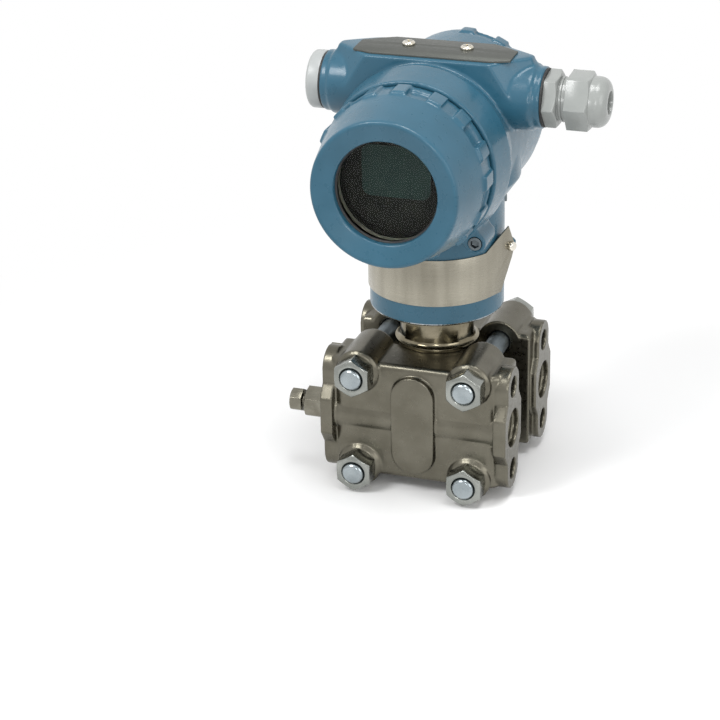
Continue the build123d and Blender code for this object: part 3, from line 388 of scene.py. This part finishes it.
def narrow_spigot(cover, side):
    """Takes the wall of a cover's spigot in, so that the thread can stand on it."""

    def on_wall(place):
        outside = cover_reach(place) > spigot_radius - spigot_wall
        return mouth_depth(place, side) > spigot_depth and outside

    edit_where(cover, "vertices", lambda vertex: on_wall(vertex.co))
    bpy.ops.transform.resize(
        value=(spigot_share, 1, spigot_share), center_override=(neck_x, 0, barrel_z)
    )
    bpy.ops.object.mode_set(mode="OBJECT")


def thread_cover(node, side, start_depth):
    """Stands a thread on the spigot of a cover and leaves its metal bare."""
    cover = castings[node]
    narrow_spigot(cover, side)
    coil = thread_coil((0, 0, 0), *spigot_thread, inward=False, steps=spigot_thread_steps)
    coil.rotation_euler = (0, 0, pi / 2)
    coil.location = (neck_x, side * (mouth_distance - start_depth), barrel_z)
    dress(settle(coil, node + "_threads", node), cover_thread, "blue_paint")

    def on_spigot(place):
        return mouth_depth(place, side) > bare_depth and cover_reach(place) > bare_radius

    refinish(cover, cover_thread, on_spigot)


def add_bead_and_shade():
    """Black bead of round section laid round the edge of the window: a seal whose black is also
    painted shade, where the bezel's inner wall falls dark.
    """
    bpy.ops.object.select_all(action="DESELECT")
    bpy.ops.mesh.primitive_circle_add(vertices=bead_corners, radius=bead_size)
    bead = bpy.context.object
    edit(bead, bpy.ops.transform.translate, value=(opening_radius, 0, 0))
    apply_modifier(
        bead,
        "SCREW",
        axis="Y",
        angle=2 * pi,
        steps=bead_steps,
        render_steps=bead_steps,
        use_merge_vertices=True,
        use_smooth_shade=True,
    )
    edit(bead, bpy.ops.mesh.normals_make_consistent, inside=False)
    bead.location = (neck_x, window_low.y, barrel_z)
    dress(settle(bead, "window_bead_and_shade", "front_cover"), black_rubber, "black_rubber")


def cross_recess(screw, place):
    """Cuts a cross recess in the head of a nameplate screw."""
    for quarter in (0, 90):
        bpy.ops.mesh.primitive_cube_add(size=1, location=place)
        blade = bpy.context.object
        blade.scale = (2 * recess_reach, recess_width, 2 * recess_depth)
        blade.rotation_euler = (0, 0, radians(recess_turn + quarter))
        bpy.ops.object.transform_apply(location=True, rotation=True, scale=True)
        apply_modifier(screw, "BOOLEAN", object=blade, operation="DIFFERENCE", solver="EXACT")
        bpy.data.objects.remove(blade)


def thread_gland(body):
    """Takes the gland's threaded length down to its root and winds the ridges on it."""

    def on_thread(place):
        reach = hypot(place.y, place.z - gland_z)
        near = abs(reach - gland_thread_radius) < gland_radius_margin
        return near and place.x > gland_low.x - gland_thread_length

    edit_where(body, "vertices", lambda vertex: on_thread(vertex.co))
    share = gland_root_radius / gland_thread_radius
    bpy.ops.transform.resize(value=(1, share, share), center_override=(0, 0, gland_z))
    bpy.ops.object.mode_set(mode="OBJECT")
    ridges = thread_coil((gland_thread_start, 0, gland_z), *gland_thread, inward=False)
    dress(settle(ridges, "gland_body_threads", "housing"), pale_nylon, "grey_plastic")


def start_material(name, colour, metallic, roughness):
    """Material with a principled shader set to one colour."""
    material = bpy.data.materials.new(name)
    material.use_nodes = True
    tree = material.node_tree
    shader = tree.nodes["Principled BSDF"]
    shader.inputs["Base Color"].default_value = (*colour, 1)
    shader.inputs["Metallic"].default_value = metallic
    shader.inputs["Roughness"].default_value = roughness
    return material, tree, shader


def grain(tree, scale, detail, stretch=(1, 1, 1)):
    """Noise on the object's own coordinates; scale is features per metre."""
    place = tree.nodes.new("ShaderNodeTexCoord")
    mapping = tree.nodes.new("ShaderNodeMapping")
    noise = tree.nodes.new("ShaderNodeTexNoise")
    mapping.inputs["Scale"].default_value = [scale * s for s in stretch]
    noise.inputs["Scale"].default_value = 1.0
    noise.inputs["Detail"].default_value = detail
    tree.links.new(place.outputs["Object"], mapping.inputs["Vector"])
    tree.links.new(mapping.outputs["Vector"], noise.inputs["Vector"])
    return noise.outputs["Fac"]


def spread(tree, source, low, high):
    """Stretches the middle of a noise to run from low to high."""
    ranged = tree.nodes.new("ShaderNodeMapRange")
    ranged.inputs["From Min"].default_value = 0.35
    ranged.inputs["From Max"].default_value = 0.65
    ranged.inputs["To Min"].default_value = low
    ranged.inputs["To Max"].default_value = high
    tree.links.new(source, ranged.inputs["Value"])
    return ranged.outputs["Result"]


def tint(tree, shader, source, dark, light):
    """Blends the base colour between two tones by a noise."""
    share = spread(tree, source, 0.0, 1.0)
    mix = tree.nodes.new("ShaderNodeMix")
    mix.data_type = "RGBA"
    mix.inputs["A"].default_value = (*dark, 1)
    mix.inputs["B"].default_value = (*light, 1)
    tree.links.new(share, mix.inputs["Factor"])
    tree.links.new(mix.outputs["Result"], shader.inputs["Base Color"])


def roughen(tree, shader, source, low, high):
    """Lets the roughness wander between two values by a noise."""
    tree.links.new(spread(tree, source, low, high), shader.inputs["Roughness"])


def relief(tree, shader, source, height, strength):
    """Fine bump of a surface, its height in metres."""
    bump = tree.nodes.new("ShaderNodeBump")
    bump.inputs["Strength"].default_value = strength
    bump.inputs["Distance"].default_value = height
    tree.links.new(source, bump.inputs["Height"])
    tree.links.new(bump.outputs["Normal"], shader.inputs["Normal"])


def enamel(name, dark, light):
    """Satin enamel sprayed on a casting, with a faint orange peel."""
    material, tree, shader = start_material(name, light, metallic=0.0, roughness=0.32)
    shader.inputs["Specular IOR Level"].default_value = 0.32
    shader.inputs["Coat Weight"].default_value = 0.2
    shader.inputs["Coat Roughness"].default_value = 0.1
    tint(tree, shader, grain(tree, scale=60, detail=3), dark, light)
    roughen(tree, shader, grain(tree, scale=240, detail=3), low=0.26, high=0.36)
    relief(tree, shader, grain(tree, scale=700, detail=1), height=0.00002, strength=0.3)
    return material


def blasted_steel(name, dark, light, roughness, height):
    """Steel blasted with fine bead."""
    material, tree, shader = start_material(name, light, metallic=1.0, roughness=0.42)
    tint(tree, shader, grain(tree, scale=90, detail=5), dark, light)
    roughen(tree, shader, grain(tree, scale=500, detail=3), *roughness)
    relief(tree, shader, grain(tree, scale=1600, detail=3), height, strength=0.6)
    return material


def turned_steel(name, dark, light, stretch, roughness=(0.16, 0.3)):
    """Metal with fine tool marks that run along one direction."""
    material, tree, shader = start_material(name, light, metallic=1.0, roughness=0.24)
    marks = grain(tree, scale=1200, detail=3, stretch=stretch)
    tint(tree, shader, grain(tree, scale=120, detail=3), dark, light)
    roughen(tree, shader, marks, *roughness)
    relief(tree, shader, marks, height=0.00002, strength=0.5)
    return material


def brushed_foil(name, dark, light):
    """Thin rolled strip with fine lines round it and soft upright streaks, partly random tone and
    partly painted sheen.
    """
    material, tree, shader = start_material(name, light, metallic=1.0, roughness=0.3)
    lines = grain(tree, scale=1500, detail=2, stretch=(0.1, 0.1, 2))
    # Upright streaks in the base colour: random tone and painted sheen
    tint(tree, shader, grain(tree, scale=70, detail=3, stretch=(1, 1, 0.1)), dark, light)
    roughen(tree, shader, lines, low=0.24, high=0.36)
    relief(tree, shader, lines, height=0.00001, strength=0.4)
    return material


def moulding(name, dark, light, roughness=(0.35, 0.5), peel=0.00002, gloss=0.5):
    """Moulded plastic or rubber with a slight texture."""
    material, tree, shader = start_material(name, light, metallic=0.0, roughness=0.4)
    shader.inputs["Specular IOR Level"].default_value = gloss
    tint(tree, shader, grain(tree, scale=200, detail=3), dark, light)
    roughen(tree, shader, grain(tree, scale=700, detail=3), *roughness)
    relief(tree, shader, grain(tree, scale=2500, detail=2), height=peel, strength=0.5)
    return material


def clear_glass(name, colour):
    """Thick clear window glass with faint dust."""
    material, tree, shader = start_material(name, colour, metallic=0.0, roughness=0.02)
    shader.inputs["Transmission Weight"].default_value = 1.0
    shader.inputs["IOR"].default_value = window_ior
    roughen(tree, shader, grain(tree, scale=400, detail=4), low=0.015, high=0.05)
    return material


# Paint and cast metal
blue_enamel = enamel("blue_enamel", dark=(0.021, 0.088, 0.136), light=(0.027, 0.102, 0.157))
cast_stainless = blasted_steel(
    "cast_stainless",
    dark=(0.122, 0.114, 0.089),
    light=(0.150, 0.141, 0.112),
    roughness=(0.27, 0.36),
    height=0.00002,
)
grey_plate = blasted_steel(
    "grey_plate",
    dark=(0.116, 0.121, 0.112),
    light=(0.126, 0.131, 0.121),
    roughness=(0.5, 0.62),
    height=0.00001,
)

# Turned and rolled metal
faced_stainless = turned_steel(
    "faced_stainless",
    dark=(0.16, 0.15, 0.12),
    light=(0.23, 0.22, 0.18),
    stretch=(0.1, 1, 1),
    roughness=(0.20, 0.32),
)
neck_stainless = turned_steel(
    "neck_stainless",
    dark=(0.17, 0.148, 0.10),
    light=(0.26, 0.23, 0.165),
    stretch=(0.15, 0.15, 1),
    roughness=(0.12, 0.20),
)
bolt_zinc = turned_steel(
    "bolt_zinc",
    dark=(0.27, 0.305, 0.32),
    light=(0.36, 0.40, 0.415),
    stretch=(1, 0.3, 1),
    roughness=(0.16, 0.28),
)
nut_zinc = turned_steel(
    "nut_zinc",
    dark=(0.24, 0.25, 0.232),
    light=(0.31, 0.32, 0.298),
    stretch=(1, 0.3, 1),
    roughness=(0.18, 0.28),
)
dark_shank = turned_steel(
    "dark_shank",
    dark=(0.118, 0.138, 0.148),
    light=(0.165, 0.190, 0.202),
    stretch=(1, 0.2, 1),
    roughness=(0.34, 0.48),
)
polished_screw = turned_steel(
    "polished_screw",
    dark=(0.62, 0.58, 0.48),
    light=(0.80, 0.77, 0.70),
    stretch=(1, 1, 1),
    roughness=(0.08, 0.16),
)
plated_brass = turned_steel(
    "plated_brass", dark=(0.45, 0.34, 0.16), light=(0.62, 0.48, 0.24), stretch=(1, 1, 1)
)
bare_aluminium = turned_steel(
    "bare_aluminium", dark=(0.40, 0.42, 0.43), light=(0.54, 0.56, 0.57), stretch=(1, 1, 0.3)
)
cover_thread = turned_steel(
    "cover_thread", dark=(0.34, 0.35, 0.35), light=(0.46, 0.47, 0.47), stretch=(1, 0.1, 1)
)
# Tag band: its upright streaks are partly painted sheen
rolled_band = brushed_foil("rolled_band", dark=(0.245, 0.228, 0.184), light=(0.395, 0.372, 0.308))

# Plastic, rubber, lacquer and glass
pale_nylon = moulding(
    "pale_nylon",
    dark=(0.265, 0.278, 0.268),
    light=(0.283, 0.296, 0.285),
    roughness=(0.2, 0.26),
    peel=0.000002,
)
pale_enamel = moulding(
    "pale_enamel",
    dark=(0.345, 0.360, 0.357),
    light=(0.370, 0.386, 0.382),
    roughness=(0.3, 0.38),
    peel=0.000004,
)
case_plastic = moulding(
    "case_plastic",
    dark=(0.007, 0.0065, 0.0055),
    light=(0.011, 0.010, 0.008),
    roughness=(0.4, 0.5),
    peel=0.000002,
    gloss=0.15,
)
screen_face = moulding(
    "screen_face",
    dark=(0.016, 0.030, 0.027),
    light=(0.020, 0.036, 0.032),
    roughness=(0.3, 0.36),
    peel=0.000001,
    gloss=0.15,
)
black_rubber = moulding(
    "black_rubber", dark=(0.008, 0.008, 0.008), light=(0.02, 0.02, 0.02), roughness=(0.5, 0.7)
)
# Olive grey of the window retainer, made about twice as light as its own tone: painted light on a ring
# that sits in shade
ring_olive_painted_light = moulding(
    "ring_olive_painted_light", dark=(0.20, 0.185, 0.15), light=(0.25, 0.23, 0.185), roughness=(0.3, 0.4)
)
board_lacquer = moulding(
    "board_lacquer", dark=(0.010, 0.060, 0.022), light=(0.018, 0.090, 0.034), roughness=(0.2, 0.35)
)
block_plastic = moulding("block_plastic", dark=(0.012, 0.012, 0.012), light=(0.022, 0.022, 0.022))
seal_plastic = moulding("seal_plastic", dark=(0.62, 0.61, 0.58), light=(0.74, 0.73, 0.70))
window_glass = clear_glass("window_glass", colour=(0.9, 0.95, 0.93))

# Castings: node, name, voxel, smoothing passes, share of faces kept, material, slot
cast_parts = [
    ("housing", "housing_casting", 0.0007, 4, 0.45, blue_enamel, "blue_paint"),
    ("front_cover", "front_cover_casting", 0.0006, 3, 0.6, blue_enamel, "blue_paint"),
    ("rear_cover", "rear_cover_casting", 0.0007, 3, 0.6, blue_enamel, "blue_paint"),
    ("front_process_flange", "front_flange_casting", 0.0005, 3, 0.5, cast_stainless, "cast_stainless"),
    ("rear_process_flange", "rear_flange_casting", 0.0005, 3, 0.5, cast_stainless, "cast_stainless"),
]
castings = {}
for node, name, voxel, passes, share, material, slot in cast_parts:
    castings[node] = soft_casting(node, name, voxel, passes, share, material, slot)

# Machined, moulded and bought parts: node, width of the eased edge, material, slot
eased_parts = [
    ("sensor_module", 0.00012, neck_stainless, "turned_stainless"),
    ("flange_bolts", 0.0003, dark_shank, "dark_steel"),
    ("flange_nuts", 0.00025, nut_zinc, "zinc_steel"),
    ("front_vent_valve_body", 0.0002, faced_stainless, "zinc_steel"),
    ("rear_vent_valve_body", 0.0002, faced_stainless, "zinc_steel"),
    ("front_vent_screw", 0.00015, faced_stainless, "dark_steel"),
    ("rear_vent_screw", 0.00015, faced_stainless, "dark_steel"),
    ("conduit_plug", 0.0003, pale_enamel, "plug_grey"),
    ("gland_body", 0.0004, pale_nylon, "grey_plastic"),
    ("gland_nut", 0.0005, pale_nylon, "grey_plastic"),
    ("nameplate", 0.00012, grey_plate, "plate_grey"),
    ("tag_band", 0.0001, rolled_band, "thin_foil"),
    ("display_case", 0.0003, case_plastic, "dark_plastic"),
    ("cover_window", 0.0003, window_glass, "window_glass"),
    ("cover_lock_screws", 0.0002, dark_shank, "dark_steel"),
    ("neck_lock_screw", 0.0002, dark_shank, "dark_steel"),
    ("nameplate_screws", 0.0002, polished_screw, "bright_steel"),
    ("tag_band_screw", 0.0002, polished_screw, "bright_steel"),
    ("terminal_block", 0.0004, block_plastic, "terminal_black"),
    ("terminal_screws", 0.0002, plated_brass, "brass"),
    ("ground_screw", 0.0002, plated_brass, "brass"),
]
finished = {}
for node, width, material, slot in eased_parts:
    finished[node] = clean_copy(node)
    if node == "flange_nuts":
        countersink_nuts(finished[node])
    ease_edges(finished[node], width, material, slot)

# Foot of the neck, brought down on the flanges
lower_foot(finished["sensor_module"])

# Bright plated ends of the bolts in front of the nuts, and their heads at the back
refinish(finished["flange_bolts"], bolt_zinc, lambda place: place.y < nut_low.y + bolt_end_depth)
refinish(finished["flange_bolts"], nut_zinc, lambda place: place.y > -nut_high.y)

# Bare metal under the collar and on the threads of the covers
refinish(castings["housing"], bare_aluminium, lambda place: place.z < housing_bottom + collar_edge)
thread_cover("front_cover", -1, front_thread_depth)
thread_cover("rear_cover", 1, rear_thread_depth)

# Small pieces and cuts on the housing and its covers
# The black bead at the window's edge stands partly for painted shade
add_bead_and_shade()
for head_x in (head_low.x + head_radius, head_high.x - head_radius):
    cross_recess(finished["nameplate_screws"], (head_x, 0, head_high.z))
thread_gland(finished["gland_body"])

# Threads of the ports and tapped holes
flange_threads(-1, "front_flange_threads")
flange_threads(1, "rear_flange_threads")

# Nodes that keep their own mesh
plain_nodes = {
    "neck_seal": black_rubber,
    "sensing_cell": faced_stainless,
    "front_isolating_diaphragm": faced_stainless,
    "rear_isolating_diaphragm": faced_stainless,
    "front_process_gasket": seal_plastic,
    "rear_process_gasket": seal_plastic,
    "electronics_board": board_lacquer,
    "board_posts": plated_brass,
    "display_screen": screen_face,
    "front_cover_seal": black_rubber,
    "rear_cover_seal": black_rubber,
    "window_retainer": ring_olive_painted_light,
    "zero_button": pale_nylon,
    "span_button": pale_nylon,
    "plug_seal": black_rubber,
    "gland_seal": black_rubber,
    "gland_grommet": black_rubber,
}
for node, material in plain_nodes.items():
    mesh = frame["nodes"][node].data
    mesh.materials.clear()
    mesh.materials.append(material)


def add_camera():
    """Camera at the picture's viewpoint, with its roll and the part's place in the frame."""
    a, e, r = camera_azimuth, camera_elevation, camera_roll
    right = Vector((cos(a), sin(a), 0))
    up = Vector((-sin(a) * sin(e), cos(a) * sin(e), cos(e)))
    ahead = Vector((-sin(a) * cos(e), cos(a) * cos(e), -sin(e)))
    turned_right = cos(r) * right - sin(r) * up
    turned_up = sin(r) * right + cos(r) * up
    focal_pixels = pixels_per_metre * camera_distance
    half = picture_size / 2
    across = (port_centre_in_picture[0] - half) / focal_pixels * camera_distance
    down = (port_centre_in_picture[1] - half) / focal_pixels * camera_distance
    place = -camera_distance * ahead - across * turned_right + down * turned_up
    bpy.ops.object.camera_add(location=place)
    camera = bpy.context.object
    camera.matrix_world = Matrix(
        (
            (turned_right.x, turned_up.x, -ahead.x, place.x),
            (turned_right.y, turned_up.y, -ahead.y, place.y),
            (turned_right.z, turned_up.z, -ahead.z, place.z),
            (0, 0, 0, 1),
        )
    )
    camera.data.sensor_width = sensor_width
    camera.data.lens = focal_pixels / picture_size * sensor_width
    camera.data.clip_start = clip_start
    bpy.context.scene.camera = camera


def add_lamp(name, place, size, power):
    """Soft square lamp, placed from the neck's axis, that points at the part."""
    position = Vector((neck_x + place[0], place[1], place[2]))
    bpy.ops.object.light_add(type="AREA", location=position)
    lamp = bpy.context.object
    lamp.name = name
    lamp.data.shape = "SQUARE"
    lamp.data.size = size
    lamp.data.energy = power
    aim = Vector((neck_x, 0, lamp_target_z)) - position
    lamp.rotation_euler = aim.to_track_quat("-Z", "Y").to_euler()


def white_to_lens(tree, shaded, white, output):
    """Shows plain white to the camera, mirrors and glass, and the shaded one to all else."""
    path = tree.nodes.new("ShaderNodeLightPath")
    add_glossy = tree.nodes.new("ShaderNodeMath")
    add_glossy.operation = "MAXIMUM"
    add_through = tree.nodes.new("ShaderNodeMath")
    add_through.operation = "MAXIMUM"
    mix = tree.nodes.new("ShaderNodeMixShader")
    tree.links.new(path.outputs["Is Camera Ray"], add_glossy.inputs[0])
    tree.links.new(path.outputs["Is Glossy Ray"], add_glossy.inputs[1])
    tree.links.new(add_glossy.outputs[0], add_through.inputs[0])
    tree.links.new(path.outputs["Is Transmission Ray"], add_through.inputs[1])
    tree.links.new(add_through.outputs[0], mix.inputs[0])
    tree.links.new(shaded, mix.inputs[1])
    tree.links.new(white, mix.inputs[2])
    tree.links.new(mix.outputs[0], output)


def add_world():
    """White surroundings for the lens, softer light for the surfaces."""
    world = bpy.data.worlds.new("studio")
    world.use_nodes = True
    bpy.context.scene.world = world
    tree = world.node_tree
    soft = tree.nodes["Background"]
    soft.inputs["Color"].default_value = (1, 1, 1, 1)
    soft.inputs["Strength"].default_value = ambient_strength
    white = tree.nodes.new("ShaderNodeBackground")
    white.inputs["Color"].default_value = (1, 1, 1, 1)
    white.inputs["Strength"].default_value = 1.0
    white_to_lens(
        tree,
        soft.outputs["Background"],
        white.outputs["Background"],
        tree.nodes["World Output"].inputs["Surface"],
    )


def add_floor(height):
    """Pale floor under the part, plain white further out."""
    bpy.ops.mesh.primitive_plane_add(size=floor_size, location=(neck_x, 0, height))
    floor = bpy.context.object
    floor.name = "floor"
    material, tree, shader = start_material(
        "pale_floor", (0.93, 0.93, 0.93), metallic=0.0, roughness=0.6
    )
    place = tree.nodes.new("ShaderNodeTexCoord")
    reach = tree.nodes.new("ShaderNodeVectorMath")
    reach.operation = "LENGTH"
    fade = tree.nodes.new("ShaderNodeMapRange")
    fade.interpolation_type = "SMOOTHSTEP"
    fade.inputs["From Min"].default_value = floor_fade[0]
    fade.inputs["From Max"].default_value = floor_fade[1]
    white = tree.nodes.new("ShaderNodeEmission")
    mix = tree.nodes.new("ShaderNodeMixShader")
    tree.links.new(place.outputs["Object"], reach.inputs[0])
    tree.links.new(reach.outputs["Value"], fade.inputs["Value"])
    tree.links.new(fade.outputs["Result"], mix.inputs[0])
    tree.links.new(shader.outputs["BSDF"], mix.inputs[1])
    tree.links.new(white.outputs["Emission"], mix.inputs[2])
    tree.links.new(mix.outputs[0], tree.nodes["Material Output"].inputs["Surface"])
    floor.data.materials.append(material)
    bpy.ops.object.transform_apply(location=True, rotation=True, scale=True)


add_camera()
add_world()
add_floor(cad_box[0][2])
for name, place, size, power in lamps:
    add_lamp(name, place, size, power)
bpy.context.scene.view_settings.view_transform = "Standard"
